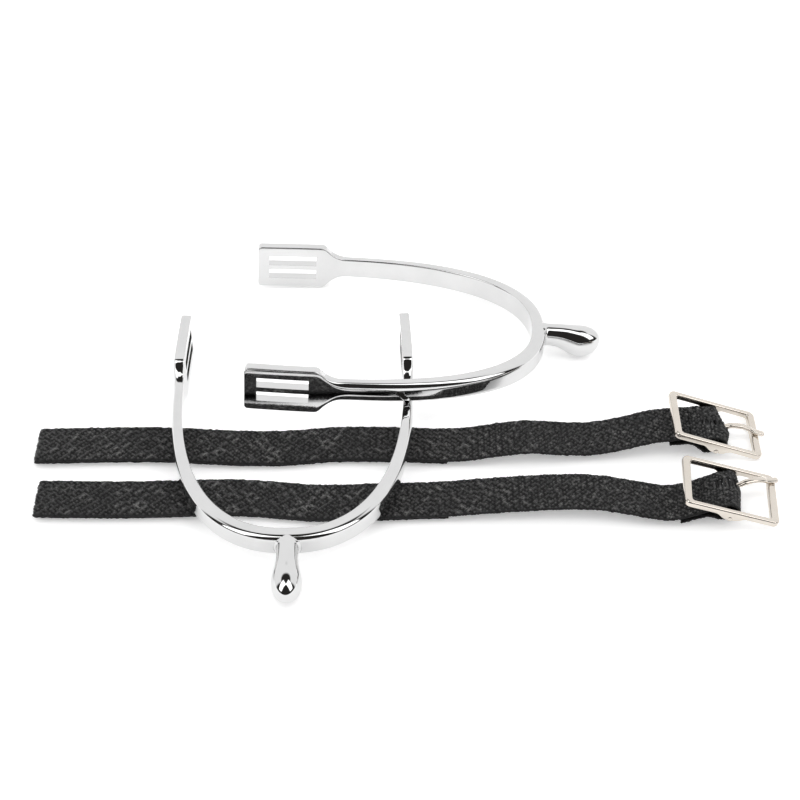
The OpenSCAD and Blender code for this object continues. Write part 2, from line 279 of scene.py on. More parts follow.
# ---------------------------------------------------------------- shader nodes
class Shader:
    """A node tree with a Principled surface and short calls to wire it."""

    def __init__(self, name):
        self.material = bpy.data.materials.new(name)
        self.material.use_nodes = True
        self.tree = self.material.node_tree
        self.surface = self.tree.nodes["Principled BSDF"]

    def add(self, kind, **settings):
        node = self.tree.nodes.new(kind)
        for key, value in settings.items():
            setattr(node, key, value)
        return node

    def feed(self, node, socket, value):
        if isinstance(value, bpy.types.NodeSocket):
            self.tree.links.new(value, node.inputs[socket])
        else:
            node.inputs[socket].default_value = value

    def coordinates(self, kind="Object"):
        return self.add("ShaderNodeTexCoord").outputs[kind]

    def scaled(self, vector, scale):
        node = self.add("ShaderNodeMapping")
        self.feed(node, "Vector", vector)
        self.feed(node, "Scale", scale)
        return node.outputs["Vector"]

    def noise(self, vector, scale, detail=3.0, roughness=0.5, distortion=0.0):
        node = self.add("ShaderNodeTexNoise")
        self.feed(node, "Vector", vector)
        for socket, value in (("Scale", scale), ("Detail", detail), ("Roughness", roughness),
                              ("Distortion", distortion)):
            self.feed(node, socket, value)
        return node.outputs["Fac"]

    def span(self, value, low, high, to_low=0.0, to_high=1.0):
        node = self.add("ShaderNodeMapRange")
        for socket, given in (("Value", value), ("From Min", low), ("From Max", high),
                              ("To Min", to_low), ("To Max", to_high)):
            self.feed(node, socket, given)
        return node.outputs["Result"]

    def math(self, operation, a, b=0.5):
        node = self.add("ShaderNodeMath", operation=operation)
        self.feed(node, 0, a)
        self.feed(node, 1, b)
        return node.outputs[0]

    def mix(self, amount, a, b):
        node = self.add("ShaderNodeMix", data_type="RGBA")
        self.feed(node, "Factor", amount)
        self.feed(node, "A", a)
        self.feed(node, "B", b)
        return node.outputs["Result"]

    def bump(self, height, distance, strength=1.0, normal=None):
        node = self.add("ShaderNodeBump")
        self.feed(node, "Height", height)
        self.feed(node, "Distance", distance)
        self.feed(node, "Strength", strength)
        if normal is not None:
            self.feed(node, "Normal", normal)
        return node.outputs["Normal"]

    def set(self, **values):
        for key, value in values.items():
            self.feed(self.surface, key.replace("_", " "), value)


def plated_metal(name, bright, dull, rough, ripple):
    """Polished plating: a faint ripple from the casting, hairline scratches and patches of haze."""
    s = Shader(name)
    place = s.coordinates()
    haze = s.noise(place, 70, 4, 0.6)
    grain = s.noise(s.scaled(place, (1, 1, 9)), 900, 3, 0.6)
    scratch = s.noise(s.scaled(place, (60, 1.5, 60)), 260, 2, 0.5, 0.4)
    line = s.span(scratch, 0.60, 0.66)
    s.set(Metallic=1.0,
          Base_Color=s.mix(s.span(haze, 0.35, 0.7), bright, dull),
          Roughness=s.math("ADD", s.span(grain, 0.3, 0.7, rough * 0.7, rough * 1.4),
                           s.math("MULTIPLY", line, 0.06)))
    wave = s.bump(s.noise(place, 160, 1, 0.3), ripple * MM)
    s.set(Normal=s.bump(line, 0.002 * MM, 0.3, wave))
    return s.material


def braided_nylon(name):
    """Twisted black yarn: filament lines along each yarn, painted highlight flecks on the raised crowns
    and painted shade in the hollows.
    """
    s = Shader(name)
    along = s.coordinates("UV")
    place = s.coordinates()
    crown = s.add("ShaderNodeAttribute", attribute_name="crown").outputs["Fac"]
    filament = s.add("ShaderNodeTexWave", wave_type="BANDS", bands_direction="DIAGONAL")
    s.feed(filament, "Vector", along)
    s.feed(filament, "Scale", 1.9)
    s.feed(filament, "Distortion", 1.6)
    s.feed(filament, "Detail", 2.0)
    s.feed(filament, "Detail Scale", 1.4)
    ply = filament.outputs["Fac"]
    lint = s.noise(place, 1500, 3, 0.7)
    patch = s.noise(place, 90, 3, 0.6)
    # dark: the yarn's own near-black, mixed towards painted shade where the yarn dips under a crossing
    dark = s.mix(s.span(crown, -0.3, 0.5), PAINTED_SHADE_HOLLOW, DARK_YARN)
    pale = s.mix(s.span(patch, 0.35, 0.65), HIGHLIGHT_DULL, HIGHLIGHT_BRIGHT)
    # painted highlight: pale flecks on the raised crowns of the yarns, standing in for glints of light
    painted_highlight = s.math("MULTIPLY", s.span(crown, 0.35, 0.80), s.span(ply, 0.0, 0.6, 0.5, 1.0))
    fleck = s.math("MULTIPLY", painted_highlight, s.span(lint, 0.38, 0.54))
    s.set(Base_Color=s.mix(fleck, dark, pale),
          Roughness=s.span(lint, 0.3, 0.7, 0.45, 0.65),
          Specular_IOR_Level=0.3)
    twist = s.bump(ply, 0.10 * MM, 0.8)
    s.set(Normal=s.bump(lint, 0.06 * MM, 0.6, twist))
    return s.material


CHROME = plated_metal("chrome_plate", *CHROME_COLOURS, rough=0.03, ripple=0.010)
NICKEL = plated_metal("nickel_plate", *NICKEL_COLOURS, rough=0.11, ripple=0.010)
NYLON = braided_nylon("braided_nylon")
THREAD = braided_nylon("sewing_thread")


# ---------------------------------------------------------------- spurs
def inside_line():
    """Inside line of the U from one arm's end round the heel to the other's."""
    u = np.linspace(1, 0, 80)
    arm = np.stack([BOW_LEN + (YOKE_LEN - BOW_LEN) * u, INNER_W / 2 - TOE_IN * u ** 2], 1)
    a = np.radians(np.linspace(90, 0, 600))[1:]
    bow = np.stack([BOW_LEN * (1 - np.cos(a) ** (2 / BOW_N)),
                    INNER_W / 2 * np.sin(a) ** (2 / BOW_N)], 1)
    half = np.concatenate([arm, bow])
    return np.concatenate([half, half[-2::-1] * [1, -1]])


def edge_heights(x):
    """Lower and upper edge of plate and band at a distance x from the heel."""
    shoulder_x = YOKE_LEN - PLATE_L - SHOULDER_L
    band_low = BAND_TOP - BAND_H + (BAND_H - BAND_H_ARM) * np.clip(x / shoulder_x, 0, 1)
    u = np.clip((YOKE_LEN - PLATE_L - x) / SHOULDER_L, 0, 1)
    rise = 1 - (1 - u) ** SHOULDER_POWER
    low = (BAND_TOP - BAND_H_ARM) * rise + (band_low - (BAND_TOP - BAND_H_ARM)) * (u >= 1)
    return low, PLATE_H - (PLATE_H - BAND_TOP) * rise


def softened_edges(x):
    """Edge heights with the shoulder's corner eased and the plate's end corners rounded."""
    reach = np.linspace(-0.9, 0.9, 9)
    low, top = (np.mean([edge_heights(x + r)[side] for r in reach], axis=0) for side in (0, 1))
    to_end = np.clip(PLATE_CORNER - (YOKE_LEN - x), 0, PLATE_CORNER)
    cut = PLATE_CORNER - np.sqrt(PLATE_CORNER ** 2 - to_end ** 2)
    return low + cut, top - cut


def yoke_mesh():
    """Points and faces of the heel band with its two slotted plates."""
    slot_low = PLATE_H / 2 - SLOT_BAR / 2 - SLOT_H
    edges = [EDGE_R, slot_low, slot_low + SLOT_H, PLATE_H - slot_low - SLOT_H, PLATE_H - slot_low,
             PLATE_H - EDGE_R]
    rows = sorted(edges + [(a + b) / 2 for a, b in zip(edges, edges[1:])])
    share = (np.array(rows) - EDGE_R) / (PLATE_H - 2 * EDGE_R)
    slot_rows = [(rows.index(edges[1]), rows.index(edges[2])),
                 (rows.index(edges[3]), rows.index(edges[4]))]

    line = inside_line()
    lengths = length_along(line)
    total = lengths[-1]
    corner = [PLATE_CORNER * (1 - math.cos(math.radians(a))) for a in range(0, 91, 15)]
    plate = [2.2, 3.2, SLOT_END] + list(np.linspace(SLOT_END, SLOT_END + SLOT_L, 19)[1:])
    near = corner + plate + list(np.arange(SLOT_END + SLOT_L + 0.8, PLATE_L + SHOULDER_L + 4, 0.6))
    middle = np.linspace(near[-1] + 0.8, total - near[-1] - 0.8, 190)
    stations = np.array(near + list(middle) + [total - d for d in reversed(near)])
    slot_spans = [(near.index(SLOT_END), near.index(plate[-1]))]
    last = len(stations) - 1
    slot_spans.append((last - slot_spans[0][1], last - slot_spans[0][0]))

    place = at_length(line, lengths, stations)
    ahead = at_length(line, lengths, np.clip(stations + 0.3, 0, total))
    behind = at_length(line, lengths, np.clip(stations - 0.3, 0, total))
    tangent = unit(ahead - behind)
    outward = np.stack([tangent[:, 1], -tangent[:, 0]], 1)
    from_end = np.minimum(stations, total - stations)
    low, top = softened_edges(place[:, 0])
    banded = smooth(from_end, PLATE_L - 1, PLATE_L + SHOULDER_L + 3)
    swollen = smooth(from_end, PLATE_L + SWELL_START, PLATE_L + SWELL_END)

    arcs = np.radians(np.linspace(0, 90, 5))[:-1]
    points, ring_size = [], None
    for i in range(len(stations)):
        k = banded[i]
        thick = PLATE_T + (BAND_T - PLATE_T) * swollen[i]
        corner_w = BAND_CORNER_W * thick
        corner_h = BAND_CORNER_H + (BAND_CORNER_H_ARM - BAND_CORNER_H) * (1 - swollen[i])
        z0, z1 = low[i], top[i]
        flat = (thick - EDGE_R) * (1 - k) + (thick - corner_w) * k
        face = z0 + EDGE_R + share * (z1 - z0 - 2 * EDGE_R)
        # the outer side, from its lower edge up: a plate with small corners blended to the band's bulge
        side = [(thick - EDGE_R + EDGE_R * math.sin(a), z0 + EDGE_R - EDGE_R * math.cos(a)) for a in arcs]
        side += [(thick, z) for z in face]
        side += [(thick - EDGE_R + EDGE_R * math.cos(a), z1 - EDGE_R + EDGE_R * math.sin(a))
                 for a in list(arcs[1:]) + [math.pi / 2]]
        tilt = np.radians(np.linspace(0, 90, 5))
        bulge = [(thick - corner_w + corner_w * math.sin(a), z0 + corner_h * (1 - math.cos(a)))
                 for a in arcs]
        bulge += [(thick, z0 + corner_h + (z1 - z0 - 2 * corner_h) * f) for f in share]
        bulge += [(thick - corner_w + corner_w * math.cos(a), z1 - corner_h * (1 - math.sin(a)))
                  for a in tilt[1:]]
        outer = [((1 - k) * a[0] + k * b[0], (1 - k) * a[1] + k * b[1]) for a, b in zip(side, bulge)]
        across_top = [(EDGE_R + (flat - EDGE_R) * f, z1) for f in (0.66, 0.33)]
        inner = [(EDGE_R - EDGE_R * math.sin(a), z1 - EDGE_R + EDGE_R * math.cos(a)) for a in arcs]
        inner += [(0, z) for z in face[::-1]]
        inner += [(EDGE_R - EDGE_R * math.cos(a), z0 + EDGE_R - EDGE_R * math.sin(a))
                  for a in list(arcs[1:]) + [math.pi / 2]]
        across_low = [(EDGE_R + (flat - EDGE_R) * f, z0) for f in (0.33, 0.66)]
        ring = outer + across_top + inner + across_low
        ring_size = len(ring)
        for t, z in ring:
            x, y = place[i] + outward[i] * t
            points.append((x, y, z))

    outer_row = {r: 4 + r for r in range(len(rows))}
    first_inner = len(outer) + 2 + 4
    inner_row = {r: first_inner + len(rows) - 1 - r for r in range(len(rows))}

    def index(i, j):
        return i * ring_size + j % ring_size

    holes = set()
    faces = []
    for a, b in slot_spans:
        for r0, r1 in slot_rows:
            for i in range(a, b):
                for r in range(r0, r1):
                    holes.add((i, outer_row[r]))
                    holes.add((i, inner_row[r + 1]))
                for r in (r0, r1):
                    faces.append((index(i, outer_row[r]), index(i + 1, outer_row[r]),
                                  index(i + 1, inner_row[r]), index(i, inner_row[r])))
            for i in (a, b):
                for r in range(r0, r1):
                    faces.append((index(i, outer_row[r]), index(i, outer_row[r + 1]),
                                  index(i, inner_row[r + 1]), index(i, inner_row[r])))
    for i in range(len(stations) - 1):
        for j in range(ring_size):
            if (i, j) not in holes:
                faces.append((index(i, j), index(i, j + 1), index(i + 1, j + 1), index(i + 1, j)))
    faces.append(tuple(index(0, j) for j in range(ring_size)))
    faces.append(tuple(index(last, j) for j in range(ring_size)))
    return np.array(points), faces


def neck_mesh():
    """Points and faces of the neck and its round knob, swept out behind the band."""
    sides = 48
    out = list(np.linspace(1.2, BAND_T + FILLET_R, 16)) + list(np.linspace(6.6, KNOB_X, 30))
    rings = []
    for d in out:
        top, low, half = (float(curve(k, d)) for k in (NECK_TOP, NECK_LOW, NECK_HALF_W))
        close = min(max(BAND_T + FILLET_R - d, 0), FILLET_R)
        flare = FILLET_R - math.sqrt(FILLET_R ** 2 - close ** 2)
        rings.append((d, top, low - flare * 0.5, half + flare))
    top, low, half = rings[-1][1:]
    for a in np.radians(np.linspace(0, 90, 22)[1:-1]):
        near = math.cos(a)
        rings.append((KNOB_X + KNOB_R * math.sin(a), KNOB_TIP + (top - KNOB_TIP) * near,
                      KNOB_TIP + (low - KNOB_TIP) * near, half * near))
    points = []
    for d, top, low, half in rings:
        for j in range(sides):
            a = 2 * math.pi * j / sides
            squared = squareness(a, NECK_POWER)
            points.append((-d, half * math.cos(a) * squared,
                           (top + low) / 2 + (top - low) / 2 * math.sin(a) * squared))
    faces = grid_faces(len(rings), sides, close_cols=True)
    faces.append(tuple(range(sides)))
    points.append((-KNOB_X - KNOB_R, 0, KNOB_TIP))
    end, pole = (len(rings) - 1) * sides, len(points) - 1
    faces += [(end + j, end + (j + 1) % sides, pole) for j in range(sides)]
    return np.array(points, float), faces


def build_spur(which, turn, lean, nose):
    """One spur, set where its CAD yoke is."""
    yoke, yoke_faces = yoke_mesh()
    neck, neck_faces = neck_mesh()
    both = np.concatenate([yoke, neck])
    both = turn_z(turn_x(turn_y(both, -nose), lean), turn)
    yoke_there = on_node(both[:len(yoke)], which + "_yoke")
    neck_there = both[len(yoke):] + (yoke_there[0] - both[0])
    make_piece(which + "_yoke_shape", yoke_there, yoke_faces, CHROME, which + "_spur",
               [which + "_yoke"], bevel=EDGE_BEVEL)
    make_piece(which + "_neck_shape", neck_there, neck_faces, CHROME, which + "_spur",
               [which + "_neck"])


# ---------------------------------------------------------------- straps
def bar_centre(which):
    """Middle of the CAD's centre bar, in millimetres."""
    low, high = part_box(which + "_bar")
    return np.array((low + high) / 2) / MM


UNDER_ROWS = 60           # rows of the middle surface in the layer underneath
FOLD_ROWS = 13            # rows round the fold at the left


class Strap:
    """The middle surface of one strap: free end, fold, top layer, loop round the bar, stitched tail."""

    def __init__(self, which, wave, drift, turn, swell, fold_in):
        self.bar = bar_centre(which)
        self.turn = turn
        self.swell = swell
        self.wave = wave + [[self.bar[0], self.bar[2] + LOOP_R + STRAP_T]]
        self.drift = drift + [[self.bar[0], 0.0]]
        low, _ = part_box("first_webbing")
        fold_axis = low[0] / MM + FLAT_Z / 2 + fold_in
        arm = (FLAT_Z - STRAP_T) / 2
        half = STRAP_T / 2
        pieces = []
        # rows are x, z, sideways offset, turn of the cross direction
        x = np.linspace(TIP_X, fold_axis, UNDER_ROWS)
        pieces.append(np.stack([x, x * 0 + half, self.side(x) + UNDER_SHIFT, x * 0], 1))
        a = np.radians(np.linspace(270, 90, FOLD_ROWS + 2)[1:-1])
        ease = UNDER_SHIFT * np.linspace(1, 0, len(a))
        pieces.append(np.stack([fold_axis + arm * np.cos(a), FLAT_Z / 2 + arm * np.sin(a),
                                self.side(x[-1]) + ease, a * 0], 1))
        x = np.linspace(fold_axis, self.bar[0] - 0.3, 420)
        twist = self.turn * smooth(x, self.bar[0] - 60, self.bar[0] - 8)
        pieces.append(np.stack([x, curve(self.wave, x) - half, self.side(x), twist], 1))
        a = np.radians(np.linspace(84, -84, 22))
        loop = LOOP_R + half
        pieces.append(np.stack([self.bar[0] + loop * np.cos(a), self.bar[2] + loop * np.sin(a),
                                a * 0, a * 0 + self.turn], 1))
        x = np.linspace(self.bar[0] - 0.6, self.bar[0] - TAIL_L, 30)
        pieces.append(np.stack([x, self.tail_z(x), self.side(x), x * 0 + self.turn], 1))
        self.rows = np.concatenate(pieces)
        self.length = length_along(self.rows[:, :2])
        self.fold_at = self.length[UNDER_ROWS + FOLD_ROWS // 2 + 1]
        self.total = self.length[-1]
        self.loop_mid = self.total - TAIL_L - LOOP_QUARTER
        t = unit(np.gradient(self.rows[:, :2], axis=0))
        self.normal = np.stack([-t[:, 1], t[:, 0]], 1)

    def side(self, x):
        return curve(self.drift, x)

    def tail_z(self, x):
        blend = smooth(x, self.bar[0] - 9, self.bar[0] - 2.5)
        under = curve(self.wave, x) - 1.5 * STRAP_T - LAYER_GAP
        return under * (1 - blend) + (self.bar[2] - LOOP_R - STRAP_T / 2) * blend

    def place(self, s, w, h):
        """Points of the strap at length s, w across it and h out of its middle surface."""
        x, z, side, turn = (np.interp(s, self.length, self.rows[:, c]) for c in range(4))
        nx, nz = (np.interp(s, self.length, self.normal[:, c]) for c in range(2))
        near_loop = np.clip((x - self.bar[0]) / (LOOP_R + STRAP_T / 2), 0, 1)
        x = x + near_loop * curve(self.swell, w)
        a = np.radians(turn)
        px = x + nx * h - w * np.sin(a)
        py = self.bar[1] + side + w * np.cos(a)
        return np.stack(np.broadcast_arrays(px, py, z + nz * h), -1)


def parted(s, w, opening):
    """Places across the strap, pushed aside where the tongue goes through."""
    middle, centre, half = opening
    open_here = smooth(np.abs(s - middle), SLIT_END, SLIT_OPEN) * half
    off = w - centre
    push = np.sqrt(off ** 2 + open_here ** 2) - np.abs(off)
    return w + np.where(off < 0, -1, 1) * push * smooth(np.abs(off), 7.0, 1.0)


def flattened(v):
    """A wave of -1 .. 1 with flatter crests."""
    return np.tanh(2.0 * v) / math.tanh(2.0)


def softened(v):
    """Values along a line, each averaged with its neighbours."""
    return np.convolve(np.pad(v, 1, mode="edge"), [0.25, 0.5, 0.25], "valid")


def braid(strap, start, end, step, seed, opening):
    """Yarn tubes of a flat braid between two lengths of a strap, with a thin core behind them."""
    half_w = (STRAP_W - YARN_W) / 2 - 0.1
    period = STRANDS * BRAID_PITCH
    stations = np.arange(start, end + step / 2, step)
    rng = np.random.default_rng(seed)
    sides = YARN_SIDES
    around = np.linspace(0, 2 * math.pi, sides, endpoint=False)
    points, faces, uv, crown = [], [], [], []
    for k in range(STRANDS * YARNS):
        offset = (k + 0.5) / YARNS * BRAID_PITCH
        s = stations
        phase = (s - offset) / period
        swing = 4 * np.abs(phase - np.floor(phase + 0.5)) - 1        # -1 .. 1, one triangle a period
        right = (phase - np.floor(phase)) < 0.5
        w_line = swing * half_w
        # cell numbers of the two families of strands that cross here
        quarter = period / 4
        p = s - swing * quarter
        q = s + swing * quarter
        xp, xq = p / BRAID_PITCH, q / BRAID_PITCH + 0.5
        up_right = np.where(np.floor(xp) % 2 == 0, 1, -1) * flattened(np.sin(np.pi * xq))
        up_left = -np.where(np.floor(xq) % 2 == 0, 1, -1) * flattened(np.sin(np.pi * xp))
        lift = np.where(right, up_right, up_left) * BRAID_LIFT
        # ease the turn at each edge: round the corner of the path and of the change of height
        to_edge = (1 - np.abs(swing)) * half_w
        lift = lift * np.clip(to_edge / TURN_ZONE, 0, 1)
        w_line = softened(w_line)
        lift = softened(lift)
        wobble = rng.normal(0, 1, 8)
        waves = sum(wobble[m] * np.sin(s * (0.23 + 0.31 * m) + 2.1 * m * wobble[7 - m]) for m in range(4))
        width = YARN_W * (1 + YARN_WAVER * waves)
        w_line = parted(s, w_line + YARN_WAVER * waves, opening)
        across = np.cos(around)[None, :] * width[:, None] / 2
        out = np.sin(around)[None, :] * YARN_T / 2 + lift[:, None]
        # the yarn's own direction in the strap's plane, to keep its width square to it
        slope = np.gradient(w_line, s)
        cosine = 1 / np.sqrt(1 + slope ** 2)
        ds = -across * (slope * cosine)[:, None]
        dw = across * cosine[:, None]
        first = len(points) * len(stations) * sides
        grid = strap.place(s[:, None] + ds, w_line[:, None] + dw, out)
        points.append(grid.reshape(-1, 3))
        crown.append(np.repeat(lift / BRAID_LIFT, sides))
        run = length_along(np.stack([s, w_line], 1))
        uv.append(np.stack(np.broadcast_arrays(run[:, None] + offset,
                                               around[None, :] / (2 * math.pi) * 2.0), -1).reshape(-1, 2))
        faces += grid_faces(len(stations), sides, close_cols=True, start=first)
        ends = first + (len(stations) - 1) * sides
        faces += [tuple(first + j for j in range(sides)), tuple(ends + j for j in range(sides))]
    core_s = np.arange(start, end + 0.5, 1.0)
    core_w = np.linspace(-half_w + 0.3, half_w - 0.3, CORE_COLUMNS)
    middle, centre, half = opening
    in_hole = np.abs(core_s[:, None] - middle) < CORE_SLIT
    in_hole = (in_hole & (np.abs(core_w[None, :] - centre) < half)).ravel()
    for h in (CORE_GAP, -CORE_GAP):
        first = sum(len(p) for p in points)
        points.append(strap.place(core_s[:, None], core_w[None, :], h).reshape(-1, 3))
        uv.append(np.zeros((len(points[-1]), 2)))
        # the core sheets behind the yarns get the darkest painted shade colour
        crown.append(np.full(len(points[-1]), -1.0))
        sheet = grid_faces(len(core_s), len(core_w), start=first)
        faces += [f for f in sheet if not any(in_hole[v - first] for v in f)]
    return np.concatenate(points), faces, np.concatenate(uv), np.concatenate(crown)


def build_strap(which, wave, drift, turn, swell, fold_in, seed, tongue_at, tongue_room):
    """The webbing of one strap, in three pieces that follow each other along its length."""
    strap = Strap(which, wave, drift, turn, swell, fold_in)
    body = which + "_strap"
    opening = (strap.loop_mid - SLIT_BEFORE, tongue_at, tongue_room)
    loop_start = strap.loop_mid - LOOP_PART
    parts = [("under", 0, strap.fold_at, UNDER_STEP), ("top", strap.fold_at, loop_start, TOP_STEP),
             ("loop", loop_start, strap.total, TOP_STEP)]
    for part, start, end, step in parts:
        points, faces, uv, crown = braid(strap, start, end, step, seed, opening)
        make_piece(f"{which}_webbing_{part}", points, faces, NYLON, body,
                   [which + "_webbing"], uv=uv, crown=crown)
    return strap


# height of each strap's top surface and its sideways drift, as knots [x, value]; the swell moves the
# loop's front forward, as knots [place across the strap, value]
FIRST_WAVE = [[15, FLAT_Z], [24, FLAT_Z + 0.5], [33, FLAT_Z + 2], [44, FLAT_Z + 2.9],
              [56, FLAT_Z + 1.3], [66, FLAT_Z + 0.6], [77, FLAT_Z + 2.4], [86, FLAT_Z + 4.4]]
FIRST_DRIFT = [[-130, -6.1], [-85, -5.3], [-56, -6.9], [-39, -7.0], [-22, -5.2], [0, -5.3],
               [15, -5.9], [45, -4.8], [70, -2.9]]
SECOND_WAVE = [[10, FLAT_Z], [26, FLAT_Z + 1], [45, FLAT_Z + 2.4], [64, FLAT_Z + 3.1],
               [78, FLAT_Z + 1.7], [89, FLAT_Z + 0.6], [98, FLAT_Z + 2.8]]
SECOND_DRIFT = [[-130, 1.4], [-90, 1.0], [-58, 2.0], [-45, 1.3], [-28, -0.5], [-8, 0.0],
                [12, 0.8], [40, 1.5], [64, 1.2], [88, -1.2]]
FIRST_SWELL = [[-8, 0.8], [-2, 2.0], [4, 0.2], [8, -0.6]]
SECOND_SWELL = [[-8, 0.3], [2, 0.8], [8, 0.0]]
FIRST_TILT = 20.0         # slope of the first buckle's frame, degrees
SECOND_TILT = 15.0        # slope of the second buckle's frame
SECOND_TURN = -4.0        # direction of the second buckle
SECOND_EYE_Y = 1.9        # place of its tongue's eye along the bar
SECOND_SKEW = 22.0        # how far its tongue points sideways, degrees


# ---------------------------------------------------------------- buckles
def rounded_rectangle(x0, x1, half_w, r, count):
    """Outline points, the same count on each straight side and corner, anticlockwise."""
    points = []
    centres = [(x1 - r, half_w - r, 0), (x0 + r, half_w - r, 90),
               (x0 + r, r - half_w, 180), (x1 - r, r - half_w, 270)]
    for i, (cx, cy, start) in enumerate(centres):
        arc = [(cx + r * math.cos(math.radians(start + a)), cy + r * math.sin(math.radians(start + a)))
               for a in np.linspace(0, 90, 9)]
        nx, ny, nstart = centres[(i + 1) % 4]
        after = (nx + r * math.cos(math.radians(nstart)), ny + r * math.sin(math.radians(nstart)))
        points += arc
        points += [tuple(np.array(arc[-1]) * (1 - f) + np.array(after) * f)
                   for f in np.linspace(0, 1, count + 2)[1:-1]]
    return np.array(points)


def frame_mesh():
    """The buckle's rectangular frame with a hump under each rail for the centre bar."""
    half_l = FRAME_L / 2
    outer = rounded_rectangle(-half_l, half_l, FRAME_W / 2, 2.0, 24)
    inner = rounded_rectangle(BACK_BAR_W - half_l, half_l - TIP_BAR_W, FRAME_W / 2 - RAIL_W, 0.9, 24)
    r = FRAME_ROUND
    profile = []
    for cx, cz, start in ((1, 1, 0), (0, 1, 90), (0, 0, 180), (1, 0, 270)):
        for a in np.radians(start + np.linspace(0, 90, 5)):
            profile.append((cx, cz, math.cos(a), math.sin(a)))
    points = []
    for o, i in zip(outer, inner):
        width = np.linalg.norm(o - i)
        across = (o - i) / width
        along = min(abs(o[0]), abs(i[0]))
        on_rail = abs(o[1]) > FRAME_W / 2 - 0.2 and along < half_l - 4
        hump = HUMP * (1 - smooth(abs(i[0]), 1.4, 4.6)) if on_rail else 0.0
        for cx, cz, c, s in profile:
            t = (width - r if cx else r) + r * c
            x, y = i + across * t
            z = FRAME_RISE + (FRAME_T / 2 - r if cz else r - FRAME_T / 2) + r * s
            z += 0.10 * math.sin(math.pi * np.clip(t / width, 0, 1)) if cz else 0
            z -= 0 if cz else hump
            points.append((x, y, z))
    return np.array(points), grid_faces(len(outer), len(profile), close_rows=True, close_cols=True)


def bar_mesh():
    """The centre bar, with headed-over ends in the rails."""
    sides = 24
    half = FRAME_W / 2
    rings = [(-half - 0.15, 0.55), (-half, 0.95)]
    rings += [(y, BAR_R) for y in np.linspace(-half + 0.2, half - 0.2, 9)]
    rings += [(half, 0.95), (half + 0.15, 0.55)]
    points = [(r * math.cos(2 * math.pi * j / sides), y, r * math.sin(2 * math.pi * j / sides))
              for y, r in rings for j in range(sides)]
    faces = grid_faces(len(rings), sides, close_cols=True)
    faces += [tuple(range(sides)), tuple((len(rings) - 1) * sides + j for j in range(sides))]
    return np.array(points), faces


def tongue_mesh(skew):
    """The tongue: wire wound round the bar, then a flattened shank arched on to the tip bar."""
    seat = FRAME_RISE + FRAME_T / 2 + TONGUE_T / 2 + 0.05
    wind = BAR_R + 0.1 + WIRE_R
    turns = [(wind * math.cos(a), wind * math.sin(a)) for a in np.radians(np.linspace(-320, 60, 40))]
    knots = [[3.2, 2.55], [5.5, seat - 0.1], [9, seat + 0.75], [12, seat + 0.6],
             [FRAME_L / 2 - TIP_BAR_W, seat + 0.12], [FRAME_L / 2 + 1.5, seat]]
    shank_x = np.linspace(3.2, FRAME_L / 2 + 1.6, 44)
    shank = [(x, float(curve(knots, x))) for x in shank_x]
    path = np.array(turns + shank)
    lengths = length_along(path)
    path = at_length(path, lengths, np.linspace(0, lengths[-1], 120))
    far = np.array([smooth(x, 1.5, 5.0) for x in path[:, 0]])
    tangent = unit(np.gradient(path, axis=0))
    normal = np.stack([-tangent[:, 1], tangent[:, 0]], 1)
    sides = 16
    a = math.radians(skew)
    points = []
    left = length_along(path)[-1] - length_along(path)
    for i, (x, z) in enumerate(path):
        half_w = WIRE_HALF_W + (TONGUE_W / 2 - WIRE_HALF_W) * far[i]
        half_t = WIRE_R + (TONGUE_T / 2 - WIRE_R) * far[i]
        taper = math.sqrt(min(max(left[i] / 0.5, 0.0), 1.0)) * 0.35 + 0.65
        for j in range(sides):
            b = 2 * math.pi * j / sides
            c, s = math.cos(b), math.sin(b)
            k = squareness(b, TONGUE_POWER)
            out, across = half_t * s * k * taper, half_w * c * k * taper
            px, pz = x + normal[i, 0] * out, z + normal[i, 1] * out
            points.append((px * math.cos(a) - across * math.sin(a),
                           px * math.sin(a) + across * math.cos(a), pz))
    faces = grid_faces(len(path), sides, close_cols=True)
    faces += [tuple(range(sides)), tuple((len(path) - 1) * sides + j for j in range(sides))]
    return np.array(points), faces


def build_buckle(which, turn, tilt, eye_y, skew):
    """Frame, centre bar and tongue of one buckle, set on its CAD bar."""
    bar = bar_centre(which)

    def there(points):
        return turn_z(turn_y(points, tilt), turn) + bar

    points, faces = frame_mesh()
    make_piece(which + "_frame_shape", there(points), faces, NICKEL, which + "_buckle",
               [which + "_frame"])
    points, faces = bar_mesh()
    make_piece(which + "_bar_shape", there(points), faces, NICKEL, which + "_buckle",
               [which + "_bar"])
    points, faces = tongue_mesh(skew)
    make_piece(which + "_tongue_shape", there(points + [0, eye_y, 0]), faces, NICKEL,
               which + "_tongue_pin", [which + "_tongue"])


def build_stitches(which, strap):
    """Two rows of thread through both layers behind the loop, each stitch a sunk arch of thread."""
    sides, steps = 8, 9
    points, faces = [], []
    for back in STITCH_ROWS:
        for count in range(-2, 3):
            for layer in (0, 1):
                s = strap.loop_mid + (LOOP_QUARTER + back) * (1 if layer else -1)
                w = count * STITCH_SPACING + np.linspace(-STITCH_HALF, STITCH_HALF, steps)
                sink = STITCH_SINK * (np.abs(np.linspace(-1, 1, steps)) ** 3)
                first = len(points) * steps * sides
                ring = np.linspace(0, 2 * math.pi, sides, endpoint=False)
                h = STRAP_T / 2 + THREAD_R - sink
                grid = strap.place(np.full((steps, sides), s) + THREAD_R * np.cos(ring)[None, :],
                                   np.repeat(w[:, None], sides, 1),
                                   h[:, None] + THREAD_R * np.sin(ring)[None, :])
                points.append(grid.reshape(-1, 3))
                faces += grid_faces(steps, sides, close_cols=True, start=first)
                last = first + (steps - 1) * sides
                faces += [tuple(first + j for j in range(sides)), tuple(last + j for j in range(sides))]
    make_piece(which + "_stitching_shape", np.concatenate(points), faces, THREAD, which + "_strap",
               [which + "_stitching"])


